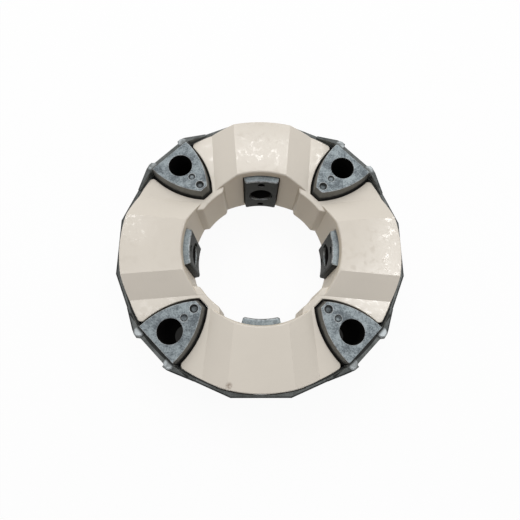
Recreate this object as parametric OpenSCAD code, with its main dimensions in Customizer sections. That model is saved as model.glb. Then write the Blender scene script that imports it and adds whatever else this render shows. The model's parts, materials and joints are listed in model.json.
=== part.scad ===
// Flexible pump coupling: a moulded ring that carries four axial and four radial bolt inserts,
// held together by a cast outer ring. The axis is +Z and the lower insert faces lie on Z = 0.

/* [Overall] */
// Width over the two faces of the axial inserts
width = 58; // [50:0.5:70]
// Outer diameter of the cast ring, over its lugs
outer_d = 203; // [180:0.5:240]
// Distance from the outer diameter in to the axial bolt circle
bolt_inset = 19; // [18.5:0.25:20]
// Gap between pieces that seat on each other
fit_gap = 0.25; // [0.1:0.05:0.35]

/* [Moulded ring] */
// Distance from the outer diameter in to the rim of the moulded ring
moulding_inset = 5.5; // [5:0.25:6.5]
// Distance from the outer diameter in to the bore beside the pads
ring_depth = 47.5; // [46:0.25:48.5]
// Drop from an insert face to the raised plateau
plateau_drop = 0.8; // [0.4:0.1:2.5]
// Drop from an insert face to the low patch around it
patch_drop = 8; // [6:0.5:10]
// Width of a plateau, midway between bore and rim
plateau_w = 39; // [34:0.5:44]
// Sideways run of the slope from plateau to patch
slope_run = 17; // [14:0.5:20]
// Outward spread of the plateau edges, in degrees
plateau_flare = 5; // [2:0.5:7]
// Width of the bevel on the bore edge of a plateau
bore_bevel_w = 0.8; // [0.4:0.1:2]
// Height of the bevel on the bore edge of a plateau
bore_bevel_h = 4; // [2:0.5:6]
// Thickness of the wall in front of an insert tip
tip_wall = 4.7; // [3.5:0.1:5.5]
// Width of such a wall at its face to the bore
tip_wall_w = 21.8; // [18:0.2:24]
// Slant of the ends of such a wall against its centre line, in degrees
tip_wall_slant = 54; // [45:1:60]
// Rounding of the corners beside the lugs
corner_r = 3.5; // [2:0.25:5]
// Height of the lobe that keys into the cast ring
lobe_h = 40; // [38:0.5:42]

/* [Axial inserts] */
// Diameter of an axial bolt hole
axial_hole_d = 16.5; // [13:0.5:18]
// Distance from bolt centre to the outer chord
chord_offset = 11.8; // [11:0.1:12.5]
// Distance from bolt centre to the tip flat
tip_offset = 24.8; // [24:0.1:26]
// Width of the face at the outer chord
chord_w = 31.8; // [28:0.2:34]
// Width of the tip flat
tip_w = 5.8; // [4:0.2:8]
// Radius of the two bulging sides
side_r = 55; // [45:1:80]
// Inset of the face against the body, from the casting draft
draft_inset = 2.6; // [2:0.1:3]
// Height over which the sides are drafted
draft_h = 16; // [12:0.5:20]
// Distance from bolt centre to the small dimple
near_dimple_offset = 12.1; // [11.5:0.1:13]
// Diameter of the small dimple
near_dimple_d = 4.6; // [3:0.1:5]
// Distance from bolt centre to the large dimple
far_dimple_offset = 20.6; // [19.5:0.1:21]
// Diameter of the large dimple
far_dimple_d = 5.4; // [4:0.1:6]
// Depth of the large dimple
dimple_depth = 2.4; // [1:0.1:4]

/* [Radial inserts] */
// Diameter of a radial bolt hole
radial_hole_d = 16.5; // [13:0.5:18]
// Distance that the concave pad faces stand out into the bore
pad_stand = 4.5; // [3:0.25:7]
// Height of a pad
pad_h = 45; // [43:0.5:46]
// Angle that a pad spans, in degrees
pad_span = 28; // [25:0.5:32]
// Radial depth of a pad
pad_depth = 15; // [12:0.5:18]
// Chamfer on the upright front edges of a pad
pad_chamfer = 1; // [0.5:0.25:2]
// Bevel on the level front edges of a pad
pad_bevel = 1; // [0.5:0.25:1.5]
// Diameter of the shank behind a pad
shank_d = 30; // [26:0.5:33]
// Depth of the bolt head seat below the rim
seat_depth = 13.5; // [11:0.5:16]
// Diameter of the small holes above and below the bolt
pin_hole_d = 5; // [3:0.25:6]
// Distance from bolt centre to a small hole
pin_hole_offset = 17; // [16:0.25:18]
// Depth of a small hole
pin_hole_depth = 10; // [5:0.5:12]

/* [Cast ring] */
// Drop from an insert face to the rim
rim_drop = 8.5; // [6:0.5:10]
// Distance from the outer diameter in to the flat around a bolt head
boss_inset = 2.3; // [2:0.1:2.6]
// Distance from the outer diameter in to the flats beside it
facet_inset = 2.6; // [2.4:0.1:3]
// Angle from a radial bolt to the middle of such a flat
facet_angle = 23; // [21:0.5:25]
// Wall left behind a lobe, at the bolt head
thin_wall = 1.8; // [1.4:0.1:2.2]
// Angle that a lobe pocket spans, in degrees
pocket_span = 34; // [30:0.5:36]
// Diameter of the window for the bolt head
window_d = 35; // [33:0.5:36]
// Drop from an insert face to the band behind it
band_drop = 3.5; // [2.5:0.1:5]
// Distance from bolt centre to the flat behind the insert
flat_offset = 16.5; // [15.5:0.1:17.2]
// Drop from an insert face to the top of a lug
lug_drop = 1.8; // [1.2:0.1:2.5]
// Radius of a lug
lug_r = 3.8; // [3.4:0.1:4.4]
// Distance of a lug from the insert's centre line
lug_across = 14.2; // [13:0.1:15]
// Distance from bolt centre to a lug, measured outwards
lug_offset = 13.9; // [13.4:0.1:14.2]
// Gap between a fin and the moulded ring
fin_gap = 1; // [0.5:0.1:1.4]
// Thickness of the crest of a fin
fin_crest = 1.4; // [1:0.1:1.8]
// Angle from the insert's centre line to the end of a fin
fin_end = 19.5; // [17:0.5:21]
// Drop from an insert face to the fin beside a lug
fin_root_drop = 2.6; // [2:0.1:4]
// Drop from an insert face to the end of a fin
fin_end_drop = 8; // [7:0.1:9]

/* [Hidden] */
$fn = 64;

aluminium = [0.66, 0.69, 0.72];
ivory = [0.88, 0.84, 0.78];

// Cuts run this far past the surface that they open
past = 1;
// Small step that keeps two surfaces apart which meet nearly level
skim = 0.1;
// Longer than any piece, for cuts that go right through
reach = outer_d;

// Heights are measured from the middle plane
face_z = width / 2;
plateau_z = face_z - plateau_drop;
patch_z = face_z - patch_drop;
rim_z = face_z - rim_drop;
band_z = face_z - band_drop;
lug_z = face_z - lug_drop;

// Radii of the rings
outer_r = outer_d / 2;
moulding_r = outer_r - moulding_inset;
bore_r = outer_r - ring_depth;
cast_in_r = moulding_r + fit_gap;
boss_x = outer_r - boss_inset;
facet_x = outer_r - facet_inset;
pocket_r = boss_x - thin_wall;
lobe_r = pocket_r - fit_gap;
lobe_half_span = pocket_span / 2 - atan(fit_gap / lobe_r);
fin_in_r = moulding_r + fin_gap;

// Plan of an axial insert, with its bolt on the local X axis
bolt_r = outer_r - bolt_inset;
chord_x = bolt_r + chord_offset;
tip_x = bolt_r - tip_offset;
side_run = [chord_x - tip_x, (chord_w - tip_w) / 2];
side_len = norm(side_run);
side_h = sqrt(side_r * side_r - side_len * side_len / 4);
// Centre of the bulging side, which lies across the centre line from it
side_x = (chord_x + tip_x) / 2 + side_h * side_run[1] / side_len;
side_y = (chord_w + tip_w) / 4 - side_h * side_run[0] / side_len;
body_r = side_r + draft_inset;
body_tip_x = tip_x - draft_inset;
tip_wall_r = body_tip_x - fit_gap - tip_wall;

// Radii of a radial insert
pad_face_r = bore_r - pad_stand;
pad_root_r = pad_face_r + pad_depth;
shank_root_r = pad_root_r * cos(pad_span / 2);
seat_r = outer_r - seat_depth;

// Edge breaks
hole_bevel = 0.8;
shank_bevel = 1;
lug_bevel = 1;

module around_axial(i) { rotate([0, 0, 45 + 90 * i]) children(); }
module around_radial(i) { rotate([0, 0, 90 * i]) children(); }
module lifted() { translate([0, 0, face_z]) children(); }

module both_faces() {
  children();
  mirror([0, 0, 1]) children();
}

module both_sides() {
  children();
  mirror([0, 1, 0]) children();
}

// Part of a ring between two radii, centred on the local X axis
module ring_sector(inner, outer, half_h, half_span) {
  rotate([0, 0, -half_span])
    rotate_extrude(angle = 2 * half_span)
      translate([inner, -half_h]) square([outer - inner, 2 * half_h]);
}

// Cylinder along the local X axis, from one radius to another
module radial_rod(d, from, to) {
  translate([from, 0, 0]) rotate([0, 90, 0]) cylinder(h = to - from, d = d);
}

// Profile across the local X axis, extruded outwards along it
module along_radius(points) {
  rotate([90, 0, 90]) linear_extrude(reach) polygon(points);
}

// Round disc that bounds one bulging side of an axial insert
module side_disc(side) {
  translate([side_x, side * side_y, 0])
    rotate_extrude()
      polygon([
        [0, -face_z], [side_r, -face_z], [body_r, draft_h - face_z],
        [body_r, face_z - draft_h], [side_r, face_z], [0, face_z],
      ]);
}

module axial_insert_blank() {
  intersection() {
    side_disc(1);
    side_disc(-1);
    rotate([90, 0, 0])
      linear_extrude(reach, center = true)
        polygon([
          [tip_x, -face_z], [chord_x, -face_z], [chord_x, face_z],
          [tip_x, face_z], [body_tip_x, face_z - draft_h], [body_tip_x, draft_h - face_z],
        ]);
  }
}

module axial_insert(i) {
  color(aluminium) lifted() around_axial(i) difference() {
    axial_insert_blank();
    translate([bolt_r, 0, 0]) cylinder(h = reach, d = axial_hole_d, center = true);
    translate([bolt_r - near_dimple_offset, 0, face_z - dimple_depth / 2])
      cylinder(h = reach, d = near_dimple_d);
    translate([bolt_r - far_dimple_offset, 0, face_z - dimple_depth])
      cylinder(h = reach, d = far_dimple_d);
  }
}

// Everything further out than a plane across the local X axis
module beyond(x) {
  translate([x, -reach / 2, -reach / 2]) cube(reach);
}

// Room that an axial insert takes up, from its tip out to a given radius
module insert_room(outer_x) {
  intersection() {
    translate([side_x, side_y, 0]) cylinder(h = reach, r = body_r + fit_gap, center = true);
    translate([side_x, -side_y, 0]) cylinder(h = reach, r = body_r + fit_gap, center = true);
    translate([body_tip_x - fit_gap, -reach / 2, -reach / 2])
      cube([outer_x - body_tip_x + fit_gap, reach, reach]);
  }
}

module pad_front_chamfer() {
  rotate([0, 0, pad_span / 2])
    translate([pad_face_r, 0, 0])
      rotate([0, 0, 45 - pad_span / 4])
        cube([pad_chamfer * sqrt(2), pad_chamfer * sqrt(2), reach], center = true);
}

module radial_insert(i) {
  color(aluminium) lifted() around_radial(i) difference() {
    union() {
      rotate([0, 0, -pad_span / 2])
        rotate_extrude(angle = pad_span)
          polygon([
            [pad_face_r + pad_bevel, -pad_h / 2], [pad_root_r, -pad_h / 2], [pad_root_r, pad_h / 2],
            [pad_face_r + pad_bevel, pad_h / 2], [pad_face_r, pad_h / 2 - pad_bevel],
            [pad_face_r, pad_bevel - pad_h / 2],
          ]);
      radial_rod(shank_d, shank_root_r, seat_r - shank_bevel);
      translate([seat_r - shank_bevel, 0, 0])
        rotate([0, 90, 0])
          cylinder(h = shank_bevel, d1 = shank_d, d2 = shank_d - 2 * shank_bevel);
    }
    both_sides() pad_front_chamfer();
    radial_rod(radial_hole_d, 0, reach);
    radial_rod(radial_hole_d + 2 * hole_bevel, 0, pad_face_r + hole_bevel);
    both_faces()
      translate([0, 0, pin_hole_offset])
        radial_rod(pin_hole_d, 0, pad_face_r + pin_hole_depth);
  }
}

// Room that a radial insert and its bolt head take up in the moulded ring
module radial_room() {
  ring_sector(pad_face_r, pad_root_r + fit_gap, pad_h / 2 + fit_gap,
    pad_span / 2 + atan(fit_gap / bore_r));
  radial_rod(shank_d + 2 * fit_gap, shank_root_r - fit_gap, reach);
}

// Plateau and slopes on one side of a sector's centre line
module plateau_side() {
  edge = plateau_w / 2 - tan(plateau_flare) * (moulding_r + bore_r) / 2;
  // The slopes of both faces run on under the patches and meet in the middle plane
  meet = edge + slope_run * plateau_z / (plateau_z - patch_z);
  rotate([0, 0, plateau_flare])
    along_radius([
      [-reach, -plateau_z], [edge, -plateau_z], [meet, 0], [edge, plateau_z], [-reach, plateau_z],
    ]);
}

module plateau() {
  intersection() {
    plateau_side();
    mirror([0, 1, 0]) plateau_side();
  }
}

// Cuts the sharp corner between the rim and an insert's room down to a round one
module corner_cut() {
  // The round stands this far past both walls, so that it crosses them at an angle
  bite = corner_r / 16;
  room_r = body_r + fit_gap;
  to_side = [side_x, side_y];
  gap = norm(to_side);
  rim_reach = moulding_r - corner_r + bite;
  side_reach = room_r + corner_r - bite;
  a = (rim_reach * rim_reach - side_reach * side_reach + gap * gap) / (2 * gap);
  h = sqrt(rim_reach * rim_reach - a * a);
  unit = to_side / gap;
  centre = [a * unit[0] - h * unit[1], a * unit[1] + h * unit[0]];
  to_rim = 2 * corner_r * centre / rim_reach;
  to_room = 2 * corner_r * (to_side - centre) / side_reach;
  linear_extrude(reach, center = true)
    difference() {
      polygon([centre, centre + to_rim, centre + to_rim + to_room, centre + to_room]);
      translate(centre) circle(r = corner_r);
    }
}

// Wider bore beside the pads, with a bevelled edge; it leaves the walls at the insert tips standing
module wide_bore() {
  slant = tan(tip_wall_slant);
  apex_x = tip_wall_r - tip_wall_w / 2 / slant;
  end_x = bore_r + past;
  end_y = (end_x - apex_x) * slant;
  bevel_z = plateau_z - bore_bevel_h;
  top = face_z + past;
  top_r = bore_r + bore_bevel_w * (top - bevel_z) / bore_bevel_h;
  difference() {
    rotate_extrude()
      polygon([
        [0, -top], [top_r, -top], [bore_r, -bevel_z], [bore_r, bevel_z], [top_r, top], [0, top],
      ]);
    for (i = [0:3])
      around_axial(i)
        linear_extrude(2 * (patch_z + skim), center = true)
          polygon([[apex_x, 0], [end_x, end_y], [end_x, -end_y]]);
  }
}

module moulded_ring() {
  color(ivory) lifted() difference() {
    union() {
      intersection() {
        union() {
          cylinder(h = 2 * patch_z, d = outer_d, center = true);
          for (i = [0:3]) around_radial(i) plateau();
        }
        cylinder(h = reach, r = moulding_r, center = true);
      }
      for (i = [0:3])
        around_radial(i) ring_sector(moulding_r - past, lobe_r, lobe_h / 2, lobe_half_span);
    }
    cylinder(h = 2 * reach, r = tip_wall_r, center = true);
    wide_bore();
    for (i = [0:3]) {
      around_radial(i) radial_room();
      around_axial(i) {
        insert_room(reach);
        both_sides() corner_cut();
      }
    }
  }
}

// Band that closes the cast ring behind an axial insert
module insert_band() {
  half_w = lug_across + lug_r;
  translate([chord_x, -half_w, -band_z]) cube([reach, 2 * half_w, 2 * band_z]);
}

module lug() {
  translate([bolt_r + lug_offset, lug_across, 0]) {
    cylinder(h = lug_z - lug_bevel, r = lug_r);
    translate([0, 0, lug_z - lug_bevel])
      cylinder(h = lug_bevel, r1 = lug_r, r2 = lug_r - lug_bevel);
  }
}

// Fin that runs from a lug along the moulded ring and falls away
module fin() {
  root_y = lug_across + lug_r / 2;
  end_y = outer_r * sin(fin_end);
  crest_r = fin_in_r + fin_crest;
  // The outer flank leans out over half of the way down to the rim
  lean = (outer_r - crest_r) / ((face_z - rim_z) / 2);
  intersection() {
    rotate_extrude(angle = fin_end)
      polygon([
        [fin_in_r, rim_z - past], [fin_in_r, face_z], [crest_r, face_z],
        [crest_r + lean * (face_z - rim_z + past), rim_z - past],
      ]);
    along_radius([
      [root_y, 0], [end_y, 0], [end_y, face_z - fin_end_drop], [root_y, face_z - fin_root_drop],
    ]);
  }
}

module insert_crown() {
  insert_band();
  both_faces()
    both_sides() {
      lug();
      fin();
    }
}

module cast_ring() {
  color(aluminium) lifted() difference() {
    intersection() {
      union() {
        ring_sector(cast_in_r, reach, rim_z, 180);
        for (i = [0:3]) around_axial(i) insert_crown();
      }
      cylinder(h = reach, r = outer_r, center = true);
    }
    for (i = [0:3]) {
      around_radial(i) {
        ring_sector(cast_in_r - past, pocket_r, reach / 2, pocket_span / 2);
        radial_rod(window_d, bore_r, reach);
        beyond(boss_x);
        both_sides() rotate([0, 0, facet_angle]) beyond(facet_x);
      }
      around_axial(i) {
        insert_room(chord_x + fit_gap);
        translate([bolt_r + flat_offset, -lug_across + lug_r / 2, -reach / 2])
          cube([reach, 2 * lug_across - lug_r, reach]);
      }
    }
  }
}

moulded_ring();
cast_ring();
axial_insert(0);  // axial_insert_1
axial_insert(1);  // axial_insert_2
axial_insert(2);  // axial_insert_3
axial_insert(3);  // axial_insert_4
radial_insert(0);  // radial_insert_1
radial_insert(1);  // radial_insert_2
radial_insert(2);  // radial_insert_3
radial_insert(3);  // radial_insert_4
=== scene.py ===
import json
import math

import bmesh
import bpy
from mathutils import Matrix, Vector

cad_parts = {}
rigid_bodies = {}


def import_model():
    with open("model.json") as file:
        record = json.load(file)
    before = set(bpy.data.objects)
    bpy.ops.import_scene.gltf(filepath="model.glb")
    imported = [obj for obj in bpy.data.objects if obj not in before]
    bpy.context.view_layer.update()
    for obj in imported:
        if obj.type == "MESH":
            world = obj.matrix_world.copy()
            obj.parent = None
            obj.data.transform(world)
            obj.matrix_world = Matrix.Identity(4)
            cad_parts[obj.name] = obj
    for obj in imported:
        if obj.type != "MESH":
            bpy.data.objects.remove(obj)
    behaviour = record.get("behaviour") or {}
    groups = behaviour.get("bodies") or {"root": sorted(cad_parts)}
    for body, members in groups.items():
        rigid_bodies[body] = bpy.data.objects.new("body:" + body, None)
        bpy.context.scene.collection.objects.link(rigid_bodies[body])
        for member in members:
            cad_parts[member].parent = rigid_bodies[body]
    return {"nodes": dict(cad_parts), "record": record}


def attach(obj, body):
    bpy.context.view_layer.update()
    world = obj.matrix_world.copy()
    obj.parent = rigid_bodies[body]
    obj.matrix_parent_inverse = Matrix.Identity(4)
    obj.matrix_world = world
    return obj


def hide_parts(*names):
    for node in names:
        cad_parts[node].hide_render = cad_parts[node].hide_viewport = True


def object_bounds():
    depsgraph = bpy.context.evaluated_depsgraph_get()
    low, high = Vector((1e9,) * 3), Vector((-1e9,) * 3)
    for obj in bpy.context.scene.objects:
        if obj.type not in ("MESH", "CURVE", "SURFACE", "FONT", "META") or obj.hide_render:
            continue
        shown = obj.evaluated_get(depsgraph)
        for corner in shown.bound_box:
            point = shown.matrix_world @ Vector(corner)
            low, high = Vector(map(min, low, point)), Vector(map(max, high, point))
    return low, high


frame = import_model()
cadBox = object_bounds()
print("stage: frame loaded,", len(frame["nodes"]), "nodes")

# Axial bolt holes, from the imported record; all lengths are in metres
axialBolts = next(mount for mount in frame["record"]["mounts"] if mount["name"] == "axial_bolts")
boltRadius = axialBolts["dims"]["pcd_mm"] / 2000
holeRadius = axialBolts["dims"]["hole_r_mm"] / 1000
boltCount = axialBolts["dims"]["count"]
midHeight = axialBolts["pos_m"][2]
# Share of a length along a diagonal that falls on X and on Y
diagonal = math.sqrt(0.5)


class Wire:
    # An output socket; sums and products of wires add Math nodes
    def __init__(self, graph, socket):
        self.graph = graph
        self.socket = socket

    def __add__(self, other):
        return self.graph.math("ADD", self, other)

    def __radd__(self, other):
        return self.graph.math("ADD", other, self)

    def __sub__(self, other):
        return self.graph.math("SUBTRACT", self, other)

    def __rsub__(self, other):
        return self.graph.math("SUBTRACT", other, self)

    def __mul__(self, other):
        return self.graph.math("MULTIPLY", self, other)

    def __rmul__(self, other):
        return self.graph.math("MULTIPLY", other, self)


class Graph:
    # The node tree of one material, the floor or the world
    def __init__(self, tree):
        self.tree = tree

    def add(self, kind, settings=None, values=None, out=0):
        node = self.tree.nodes.new(kind)
        for name, value in (settings or {}).items():
            setattr(node, name, value)
        for name, value in (values or {}).items():
            if isinstance(value, Wire):
                self.tree.links.new(value.socket, node.inputs[name])
            else:
                node.inputs[name].default_value = value
        return Wire(self, node.outputs[out])

    def math(self, operation, first, second=0):
        return self.add("ShaderNodeMath", {"operation": operation}, {0: first, 1: second})

    def place(self):
        return self.add("ShaderNodeTexCoord", out="Object")

    def axis(self, vector, name):
        return self.add("ShaderNodeSeparateXYZ", None, {0: vector}, name)

    def facing(self):
        # 1 where a face looks up, 0 where it is upright, -1 where it looks down
        return self.axis(self.add("ShaderNodeNewGeometry", out="Normal"), "Z")

    def noise(self, place, pattern):
        # A pattern is a scale, a detail and a roughness
        scale, detail, rough = pattern
        return self.add("ShaderNodeTexNoise", {"normalize": True},
                        {"Vector": place, "Scale": scale, "Detail": detail, "Roughness": rough})

    def rise(self, value, span):
        # 0 below the span, 1 above it, smooth between
        low, high = span
        return self.add("ShaderNodeMapRange", {"interpolation_type": "SMOOTHSTEP"},
                        {"Value": value, "From Min": low, "From Max": high})

    def mix(self, factor, first, second):
        # Sockets 6 and 7 take the colours and 2 gives the mixed one
        return self.add("ShaderNodeMix", {"data_type": "RGBA"}, {0: factor, 6: first, 7: second}, 2)

    def bump(self, height, distance, strength=1.0):
        return self.add("ShaderNodeBump", None,
                        {"Strength": strength, "Distance": distance, "Height": height}, "Normal")

    def vector(self, operation, first, second=(0, 0, 0), out=0):
        return self.add("ShaderNodeVectorMath", {"operation": operation}, {0: first, 1: second}, out)

    def hypot(self, first, second):
        return self.math("SQRT", first * first + second * second)

    def flatDistance(self, place, spot):
        # Distance from an upright line through a spot
        apart = self.vector("SUBTRACT", place, spot)
        return self.vector("LENGTH", self.vector("MULTIPLY", apart, (1, 1, 0)), out="Value")


def colour(red, green, blue):
    return (red, green, blue, 1)


def newLook(name, fixed):
    material = bpy.data.materials.new(name)
    material.use_nodes = True
    shader = material.node_tree.nodes["Principled BSDF"]
    for socket, value in fixed.items():
        shader.inputs[socket].default_value = value
    return material, Graph(material.node_tree), shader


def plug(graph, shader, wires):
    for socket, wire in wires.items():
        graph.tree.links.new(wire.socket, shader.inputs[socket])


# Cream plastic of the moulded ring
plastic = {
    "ior": 1.5,
    "cream": colour(0.692, 0.640, 0.558),
    "dull": colour(0.672, 0.622, 0.543),
    "clouds": (26, 4, 0.55),
    "cloudSpan": (0.32, 0.72),
    # Ripple of the skin
    "waves": (135, 1.5, 0.42),
    "ripples": (380, 1.5, 0.5),
    "rippleShare": 0.13,
    "waveHeight": 0.00009,
    # Roughness, lower in sparse glossy spots
    "matt": 0.21,
    "gloss": 0.08,
    "spots": (230, 2, 0.55),
    "spotSpan": (0.525, 0.645),
    # Wall of the bore, darker and duller
    "uprightSpan": (0.3, 0.8),
    "boreRadius": 0.054,
    "boreSoft": (0.0004, 0.0022),
    "boreTint": colour(0.62, 0.46, 0.22),
    "boreShare": 0.25,
    "boreMatt": 0.25,
    # A smudge by the rim
    "smudge": colour(0.17, 0.11, 0.07),
    "smudgePlace": (-0.020, -0.0913, 0),
    "smudgeSoft": (0.0005, 0.0030),
    "smudgeGrain": (420, 4, 0.7),
    "smudgeSpan": (0.36, 0.56),
    "smudgeShare": 0.75,
}


def makePlastic():
    material, graph, shader = newLook("creamPlastic", {"IOR": plastic["ior"]})
    place = graph.place()
    clouds = graph.rise(graph.noise(place, plastic["clouds"]), plastic["cloudSpan"])
    waves = graph.noise(place, plastic["waves"])
    waves = waves + plastic["rippleShare"] * graph.noise(place, plastic["ripples"])
    spots = graph.rise(graph.noise(place, plastic["spots"]), plastic["spotSpan"])
    upright = 1 - graph.rise(graph.math("ABSOLUTE", graph.facing()), plastic["uprightSpan"])
    fromBore = graph.flatDistance(place, (0, 0, 0)) - plastic["boreRadius"]
    inBore = upright * (1 - graph.rise(fromBore, plastic["boreSoft"]))
    fromSmudge = graph.flatDistance(place, plastic["smudgePlace"])
    smudgeGrain = graph.rise(graph.noise(place, plastic["smudgeGrain"]), plastic["smudgeSpan"])
    smudge = (1 - graph.rise(fromSmudge, plastic["smudgeSoft"])) * smudgeGrain
    tone = graph.mix(clouds, plastic["cream"], plastic["dull"])
    tone = graph.mix(inBore * plastic["boreShare"], tone, plastic["boreTint"])
    tone = graph.mix(smudge * plastic["smudgeShare"], tone, plastic["smudge"])
    sheen = spots * (1 - inBore) * (1 - smudge)
    rough = plastic["matt"] + plastic["boreMatt"] * inBore
    plug(graph, shader, {
        "Base Color": tone,
        "Roughness": rough - (plastic["matt"] - plastic["gloss"]) * sheen,
        "Normal": graph.bump(waves, plastic["waveHeight"]),
    })
    return material


# Die-cast aluminium of the axial and radial inserts
insert = {
    "metallic": 0.85,
    "rough": 0.50,
    "roughShare": 0.25,
    # Mottled skin, from grey to bright
    "grey": colour(0.152, 0.176, 0.192),
    "bright": colour(0.45, 0.51, 0.53),
    "clouds": (105, 3, 0.6),
    "cloudShare": 0.3,
    "blotches": (300, 4, 0.65),
    "blotchShare": 0.35,
    "specks": (1000, 3, 0.6),
    "speckShare": 0.35,
    "mottleSpan": (0.405, 0.595),
    "grainHeight": 0.00005,
    # How far a face is turned up or down where it counts as level, and where as an edge
    "levelSpan": (0.72, 0.94),
    "edgeRise": (0.35, 0.6),
    "edgeFall": (0.9, 0.99),
    # Edges painted bright as a painted highlight, least and with the mottle
    "edgeHighlight": colour(0.74, 0.78, 0.79),
    "highlightLeast": 0.3,
    "highlightMottle": 0.6,
    # Upright faces, painted darker as painted shade, and painted shade low on those of the axial
    # inserts
    "side": colour(0.215, 0.21, 0.19),
    "sideShare": 0.85,
    "lowShade": colour(0.022, 0.018, 0.015),
    "lowShadeSpan": (0.0212, 0.0234),
    "lowShadeWaver": 0.0015,
    "lowShadeShare": 0.8,
    # Pads, which lie this near to an axis; their upright faces are painted dark as shade and their
    # faces painted lighter as light
    "pad": colour(0.026, 0.027, 0.023),
    "padSpan": (0.018, 0.022),
    "padBright": 0.3,
    # Bolt holes, and pin holes above and below the radial ones, painted near black as shade
    "hole": colour(0.022, 0.021, 0.020),
    "holeSoft": (0.00002, 0.0002),
    "pinRadius": 0.0025,
    "pinOffset": 0.017,
    # Dimples, offset from the bolt towards the bore; their inside and a ring in it are painted dark as
    # shade
    "dimples": (
        {"offset": 0.0206, "radius": 0.0027, "depth": 0.0014, "shade": 0.45, "ring": 0.85},
        {"offset": 0.0121, "radius": 0.0023, "depth": 0.0011, "shade": 0.10, "ring": 0.75},
    ),
    # Rim, ring of painted shade and lip of painted highlight of a dimple, in shares of its radius
    "dimpleRim": (0.96, 1.04),
    "dimpleRing": (0.5, 0.85),
    "dimpleLip": (1.06, 1.3),
    "lipShare": 0.55,
    "ringClouds": (0.35, 0.6),
}


def fromDiagonal(graph, folded, radius):
    # Distance from the upright line at a radius on the diagonal
    return graph.flatDistance(folded, (radius * diagonal, radius * diagonal, 0))


def maskHoles(graph, folded, nearest, height):
    def inside(distance, radius):
        return 1 - graph.rise(distance - radius, insert["holeSoft"])

    fromAxial = fromDiagonal(graph, folded, boltRadius)
    fromBolt = graph.math("MINIMUM", fromAxial, graph.hypot(nearest, height))
    fromPin = graph.hypot(nearest, graph.math("ABSOLUTE", height) - insert["pinOffset"])
    return graph.math("MAXIMUM", inside(fromBolt, holeRadius), inside(fromPin, insert["pinRadius"]))


def addDimples(graph, folded, clouds, tone, relief):
    for dimple in insert["dimples"]:
        ratio = fromDiagonal(graph, folded, boltRadius - dimple["offset"]) * (1 / dimple["radius"])
        share = graph.math("MINIMUM", ratio, 1)
        relief = relief + dimple["depth"] * (share * share)
        inside = 1 - graph.rise(ratio, insert["dimpleRim"])
        ring = inside * graph.rise(ratio, insert["dimpleRing"]) * dimple["ring"]
        lip = (1 - inside) * (1 - graph.rise(ratio, insert["dimpleLip"]))
        # Painted shade in the dimple's hollow, and a painted highlight on its lip
        tone = graph.mix(inside * dimple["shade"], tone, insert["hole"])
        tone = graph.mix(ring * graph.rise(clouds, insert["ringClouds"]), tone, insert["hole"])
        tone = graph.mix(lip * insert["lipShare"], tone, insert["edgeHighlight"])
    return tone, relief


def makeInsert():
    material, graph, shader = newLook("dieCastAluminium", {"Metallic": insert["metallic"]})
    place = graph.place()
    clouds = graph.noise(place, insert["clouds"])
    blotches = graph.noise(place, insert["blotches"])
    specks = graph.noise(place, insert["specks"])
    mottle = insert["cloudShare"] * clouds + insert["blotchShare"] * blotches
    mottle = graph.rise(mottle + insert["speckShare"] * specks, insert["mottleSpan"])
    tilt = graph.math("ABSOLUTE", graph.facing())
    level = graph.rise(tilt, insert["levelSpan"])
    edge = graph.rise(tilt, insert["edgeRise"]) * (1 - graph.rise(tilt, insert["edgeFall"]))
    # All quarters are alike, so the holes are found in the first one
    folded = graph.vector("ABSOLUTE", place)
    nearest = graph.math("MINIMUM", graph.axis(folded, "X"), graph.axis(folded, "Y"))
    height = graph.axis(folded, "Z") - midHeight
    tone = graph.mix(mottle, insert["grey"], insert["bright"])
    tone, relief = addDimples(graph, folded, clouds, tone, insert["grainHeight"] * specks)
    onPad = 1 - graph.rise(nearest, insert["padSpan"])
    # Painted light: the pads are made brighter
    tone = graph.mix(onPad * insert["padBright"], tone, insert["bright"])
    # Painted shade low on the upright faces, where the axial inserts leave the plastic
    aboveMid = graph.math("ABSOLUTE", height) + insert["lowShadeWaver"] * (blotches - 0.5)
    lowShade = 1 - graph.rise(aboveMid, insert["lowShadeSpan"])
    side = graph.mix(lowShade * insert["lowShadeShare"], insert["side"], insert["lowShade"])
    # Painted shade: the pads' upright faces are near black
    upright = graph.mix(onPad, side, insert["pad"])
    sideShare = insert["sideShare"] + (1 - insert["sideShare"]) * onPad
    # Painted shade: upright faces take the darker side colour
    tone = graph.mix((1 - level) * sideShare, tone, upright)
    # Painted highlight along the rounded edges
    highlightShare = insert["highlightLeast"] + insert["highlightMottle"] * mottle
    tone = graph.mix(edge * highlightShare, tone, insert["edgeHighlight"])
    # Painted shade: the holes' walls are near black
    tone = graph.mix(maskHoles(graph, folded, nearest, height), tone, insert["hole"])
    plug(graph, shader, {
        "Base Color": tone,
        "Roughness": insert["rough"] + insert["roughShare"] * blotches,
        # The relief is in metres already
        "Normal": graph.bump(relief, 1.0),
    })
    return material


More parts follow.
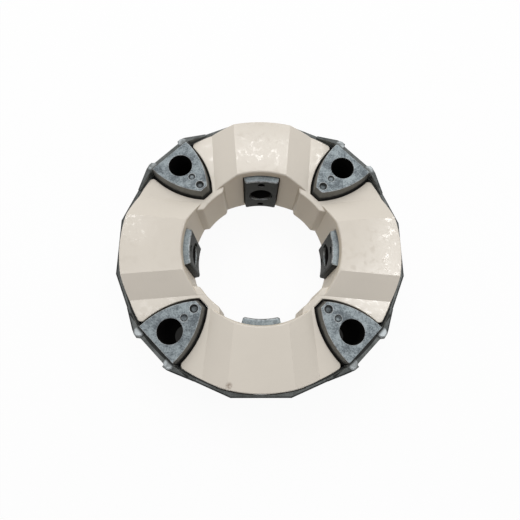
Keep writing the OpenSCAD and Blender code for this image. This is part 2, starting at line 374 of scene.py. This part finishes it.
# As-cast aluminium of the outer ring
casting = {
    "metallic": 0.8,
    "rough": 0.45,
    "roughShare": 0.25,
    # Mottled skin
    "flank": colour(0.20, 0.212, 0.208),
    "stain": colour(0.115, 0.124, 0.119),
    "blotches": (130, 4, 0.6),
    "blotchShare": 0.55,
    "grain": (1400, 3, 0.6),
    "grainShare": 0.45,
    "mottleSpan": (0.36, 0.64),
    "grainHeight": 0.00012,
    "grainStrength": 0.8,
    "levelSpan": (0.5, 0.95),
    # Tops of the lugs, with a painted highlight on their outer half
    "crest": colour(0.68, 0.73, 0.745),
    "crestSpan": (0.0548, 0.0556),
    "crestSide": 0.35,
    "crestBlotches": (0.3, 0.6),
    "lugSpan": (0.0008, 0.0032),
    # Painted shade along the outer edge; the flats beside a boss have this distance from the axis and
    # angle from the boss
    "lineShade": colour(0.018, 0.019, 0.018),
    "lineShadeShare": 0.85,
    "edgeSpan": (0.0006, 0.0012),
    "sideFlat": 0.0989,
    "sideAngle": 23,
    # Painted shade along the joints against the plastic and behind the axial inserts
    "jointRadius": 0.0966,
    "jointSpan": (0.00024, 0.0006),
    "chordOffset": 0.0118,
    "insertSpan": (0.045, 0.047),
    # What is left of the painted shade on the far side, where the light comes from
    "farShare": 0.25,
    "farSpan": (0, 0.07),
}


# Mask of painted shade along the outer edge and the joints, weaker on the far side
def shadeLines(graph, place, across, along, fromChord):
    # The outside is flats, a boss on each axis and one on each side of it
    large = graph.math("MAXIMUM", across, along)
    small = graph.math("MINIMUM", across, along)
    turn = math.radians(casting["sideAngle"])
    fromSide = casting["sideFlat"] - (math.cos(turn) * large + math.sin(turn) * small)
    fromEdge = graph.math("MINIMUM", cadBox[1].x - large, fromSide)
    atEdge = 1 - graph.rise(fromEdge, casting["edgeSpan"])
    fromPlastic = graph.flatDistance(place, (0, 0, 0)) - casting["jointRadius"]
    atPlastic = 1 - graph.rise(fromPlastic, casting["jointSpan"])
    atInsert = 1 - graph.rise(fromChord, casting["jointSpan"])
    atInsert = graph.rise(small, casting["insertSpan"]) * atInsert
    lineShade = graph.math("MAXIMUM", atEdge, graph.math("MAXIMUM", atInsert, atPlastic))
    far = graph.rise(graph.axis(place, "Y"), casting["farSpan"])
    return lineShade * (1 - (1 - casting["farShare"]) * far)


def makeCasting():
    material, graph, shader = newLook("asCastAluminium", {"Metallic": casting["metallic"]})
    place = graph.place()
    blotches = graph.noise(place, casting["blotches"])
    grain = graph.noise(place, casting["grain"])
    mottle = casting["blotchShare"] * blotches + casting["grainShare"] * grain
    mottle = graph.rise(mottle, casting["mottleSpan"])
    level = graph.rise(graph.facing(), casting["levelSpan"])
    tone = graph.mix(mottle, casting["flank"], casting["stain"])
    folded = graph.vector("ABSOLUTE", place)
    across, along = graph.axis(folded, "X"), graph.axis(folded, "Y")
    # Distance outwards from the straight back of an axial insert
    fromChord = diagonal * (across + along) - (boltRadius + casting["chordOffset"])
    lineShade = level * shadeLines(graph, place, across, along, fromChord)
    # Painted shade on the level faces
    tone = graph.mix(lineShade * casting["lineShadeShare"], tone, casting["lineShade"])
    crest = graph.rise(graph.axis(place, "Z"), casting["crestSpan"])
    crest = crest * (casting["crestSide"] + (1 - casting["crestSide"]) * level)
    crest = crest * graph.rise(fromChord, casting["lugSpan"])
    crest = crest * graph.rise(blotches, casting["crestBlotches"])
    # Painted highlight on the lug tops
    tone = graph.mix(crest, tone, casting["crest"])
    plug(graph, shader, {
        "Base Color": tone,
        "Roughness": casting["rough"] + casting["roughShare"] * blotches,
        "Normal": graph.bump(grain, casting["grainHeight"], casting["grainStrength"]),
    })
    return material


plasticLook = makePlastic()
insertLook = makeInsert()
castingLook = makeCasting()
print("stage: finishes made")

# Rounding of the edges, with angles in degrees; edges nearer to the axis than boreEdge get all of it
plainEdges = {
    "flatAngle": 0.3, "sharpAngle": 28, "smoothAngle": 32, "boreEdge": 0, "otherShare": 1,
    "merge": 0.000002, "sliver": 0.0000001,
}
mouldingEdges = {
    **plainEdges, "edge": 0.0012, "steps": 5, "smoothAngle": 20, "boreEdge": 0.0552, "otherShare": 0.5,
    "sliver": 0.000005,
}
insertEdges = {**plainEdges, "edge": 0.0005, "steps": 3}
castingEdges = {**plainEdges, "edge": 0.0003, "steps": 2, "merge": 0.00006}


def focus(piece):
    bpy.ops.object.select_all(action="DESELECT")
    piece.select_set(True)
    bpy.context.view_layer.objects.active = piece


def weighEdges(mesh, settings):
    # Only outer corners are rounded
    work = bmesh.new()
    work.from_mesh(mesh)
    weights = work.edges.layers.float.new("bevel_weight_edge")
    for edge in work.edges:
        if len(edge.link_faces) != 2 or not edge.is_convex:
            continue
        if edge.calc_face_angle() < math.radians(settings["sharpAngle"]):
            continue
        inBore = all(corner.co.xy.length < settings["boreEdge"] for corner in edge.verts)
        edge[weights] = 1 if inBore else settings["otherShare"]
    work.to_mesh(mesh)
    work.free()


def edgedCopy(node, settings, material):
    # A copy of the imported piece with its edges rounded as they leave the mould
    focus(frame["nodes"][node])
    bpy.ops.object.duplicate()
    piece = bpy.context.active_object
    bpy.ops.object.parent_clear(type="CLEAR_KEEP_TRANSFORM")
    for key in [key for key in piece.keys() if key.startswith("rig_")]:
        del piece[key]
    piece.name = node + "_edged"
    piece.data.name = piece.name
    focus(piece)
    bpy.ops.mesh.customdata_custom_splitnormals_clear()
    bpy.ops.object.mode_set(mode="EDIT")
    bpy.ops.mesh.select_all(action="SELECT")
    bpy.ops.mesh.remove_doubles(threshold=settings["merge"])
    bpy.ops.mesh.dissolve_limited(angle_limit=math.radians(settings["flatAngle"]))
    bpy.ops.object.mode_set(mode="OBJECT")
    weighEdges(piece.data, settings)
    bevel = piece.modifiers.new("edges", "BEVEL")
    bevel.width = settings["edge"]
    bevel.segments = settings["steps"]
    bevel.limit_method = "WEIGHT"
    bevel.use_clamp_overlap = False
    bpy.ops.object.modifier_apply(modifier=bevel.name)
    bpy.ops.object.mode_set(mode="EDIT")
    bpy.ops.mesh.select_all(action="SELECT")
    bpy.ops.mesh.dissolve_degenerate(threshold=settings["sliver"])
    bpy.ops.object.mode_set(mode="OBJECT")
    bpy.ops.object.shade_smooth_by_angle(angle=math.radians(settings["smoothAngle"]))
    weigh = piece.modifiers.new("normals", "WEIGHTED_NORMAL")
    weigh.keep_sharp = True
    bpy.ops.object.modifier_apply(modifier=weigh.name)
    piece.data.materials.clear()
    piece.data.materials.append(material)
    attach(piece, "root")
    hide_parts(node)


edgedCopy("moulded_ring", mouldingEdges, plasticLook)
edgedCopy("cast_ring", castingEdges, castingLook)
for quarter in range(1, boltCount + 1):
    edgedCopy("axial_insert_%d" % quarter, insertEdges, insertLook)
    edgedCopy("radial_insert_%d" % quarter, insertEdges, insertLook)
print("stage: pieces edged")

# Floor, which shows white except under the ring, where it shows a painted shadow
floorSet = {
    "half": 3.0,
    "paint": colour(0.85, 0.85, 0.85),
    "white": colour(1, 1, 1),
    "under": colour(0.02, 0.02, 0.019),
    "innerSpan": (0.060, 0.063),
    "outerSpan": (0.0955, 0.0985),
    # Share of the plain colour, without shadows, in what is seen of the floor
    "show": 0.94,
}


def makeFloor():
    bpy.ops.object.select_all(action="DESELECT")
    bpy.ops.mesh.primitive_plane_add(size=2 * floorSet["half"], location=(0, 0, 0))
    floor = bpy.context.active_object
    floor.name = "floor"
    material = bpy.data.materials.new("floorPaint")
    material.use_nodes = True
    graph = Graph(material.node_tree)
    graph.tree.nodes.remove(graph.tree.nodes["Principled BSDF"])
    radius = graph.flatDistance(graph.place(), (0, 0, 0))
    inside = 1 - graph.rise(radius, floorSet["innerSpan"])
    outside = graph.rise(radius, floorSet["outerSpan"])
    seen = graph.add("ShaderNodeLightPath", out="Is Camera Ray")
    for ray in ("Is Glossy Ray", "Is Transmission Ray"):
        seen = graph.math("MAXIMUM", seen, graph.add("ShaderNodeLightPath", out=ray))
    paint = graph.add("ShaderNodeBsdfDiffuse", None, {"Color": floorSet["paint"]})
    # Painted shadow on the floor under the ring
    shown = graph.mix(inside + outside, floorSet["under"], floorSet["white"])
    glow = graph.add("ShaderNodeEmission", None, {"Color": shown, "Strength": 1.0})
    both = graph.add("ShaderNodeMixShader", None, {0: seen * floorSet["show"], 1: paint, 2: glow})
    graph.tree.links.new(both.socket, graph.tree.nodes["Material Output"].inputs["Surface"])
    floor.data.materials.append(material)


makeFloor()

# Soft light from all around, brightest from above and behind
worldSet = {
    "bright": colour(0.965, 0.965, 0.97),
    "dim": colour(0.318, 0.288, 0.292),
    "towards": (0, 0.5, 0.866),
    "span": (-0.3, 0.95),
    "strength": 0.68,
}


def makeWorld():
    world = bpy.data.worlds.new("studio")
    bpy.context.scene.world = world
    world.use_nodes = True
    graph = Graph(world.node_tree)
    background = graph.tree.nodes["Background"]
    direction = graph.add("ShaderNodeTexCoord", out="Generated")
    along = graph.vector("DOT_PRODUCT", direction, worldSet["towards"], "Value")
    around = graph.mix(graph.rise(along, worldSet["span"]), worldSet["dim"], worldSet["bright"])
    graph.tree.links.new(around.socket, background.inputs["Color"])
    background.inputs["Strength"].default_value = worldSet["strength"]


makeWorld()

# Lamps: a broad one behind, and small boxes that the glossy plateaus and patches mirror
lamps = {
    "keyLamp": {"place": (-0.28, 0.95, 1.12), "size": (1.0, 1.0), "watts": 8.0, "mirrored": False},
    "backBox": {"place": (0.025, 0.642, 1.0), "size": (0.46, 0.08), "watts": 1.0, "mirrored": True},
    "rightBox": {"place": (0.48, 0.235, 1.0), "size": (0.06, 0.40), "watts": 0.8, "mirrored": True},
    "leftBox": {"place": (-0.41, 0.355, 1.0), "size": (0.055, 0.065), "watts": 0.12, "mirrored": True},
    "nearBox": {"place": (-0.34, 0.105, 1.0), "size": (0.26, 0.15), "watts": 0.37, "mirrored": True},
    "cornerBox": {"place": (0.385, 0.115, 1.0), "size": (0.20, 0.13), "watts": 0.72, "mirrored": True},
}


def makeLamps():
    for name, lamp in lamps.items():
        bpy.ops.object.select_all(action="DESELECT")
        bpy.ops.object.light_add(type="AREA", location=lamp["place"])
        light = bpy.context.active_object
        light.name = name
        light.visible_glossy = lamp["mirrored"]
        light.data.shape = "RECTANGLE"
        light.data.size, light.data.size_y = lamp["size"]
        light.data.energy = lamp["watts"]


makeLamps()

# Camera, solved from the bolt holes in the photo, with angles in radians
view = {
    "pixels": 520, "focal": 359.4, "centre": (261.48, 261.59),
    "pitch": 0.2516, "yaw": 0.0262, "roll": 0.0031, "spin": -0.0054,
    "place": (-0.0065, -0.0721, 0.2913), "nearClip": 0.01,
}


def makeCamera():
    data = bpy.data.cameras.new("photoCamera")
    camera = bpy.data.objects.new("photoCamera", data)
    bpy.context.scene.collection.objects.link(camera)
    pixels = view["pixels"]
    data.lens = view["focal"] / pixels * data.sensor_width
    data.shift_x = (pixels / 2 - view["centre"][0]) / pixels
    data.shift_y = (view["centre"][1] - pixels / 2) / pixels
    data.clip_start = view["nearClip"]
    pitch, yaw, roll = view["pitch"], view["yaw"], view["roll"]
    ahead = Vector((0, math.sin(pitch), -math.cos(pitch)))
    up = Vector((0, math.cos(pitch), math.sin(pitch)))
    right = Vector((1, 0, 0))
    ahead, right = (ahead * math.cos(yaw) + right * math.sin(yaw),
                    right * math.cos(yaw) - ahead * math.sin(yaw))
    right, up = (right * math.cos(roll) + up * math.sin(roll),
                 up * math.cos(roll) - right * math.sin(roll))
    turn = Matrix((right, up, -ahead)).transposed().to_4x4()
    turn.translation = Vector(view["place"])
    camera.matrix_world = Matrix.Rotation(-view["spin"], 4, "Z") @ turn
    bpy.context.scene.camera = camera


makeCamera()
bpy.context.scene.view_settings.view_transform = "Standard"
print("stage: floor, light and camera set")
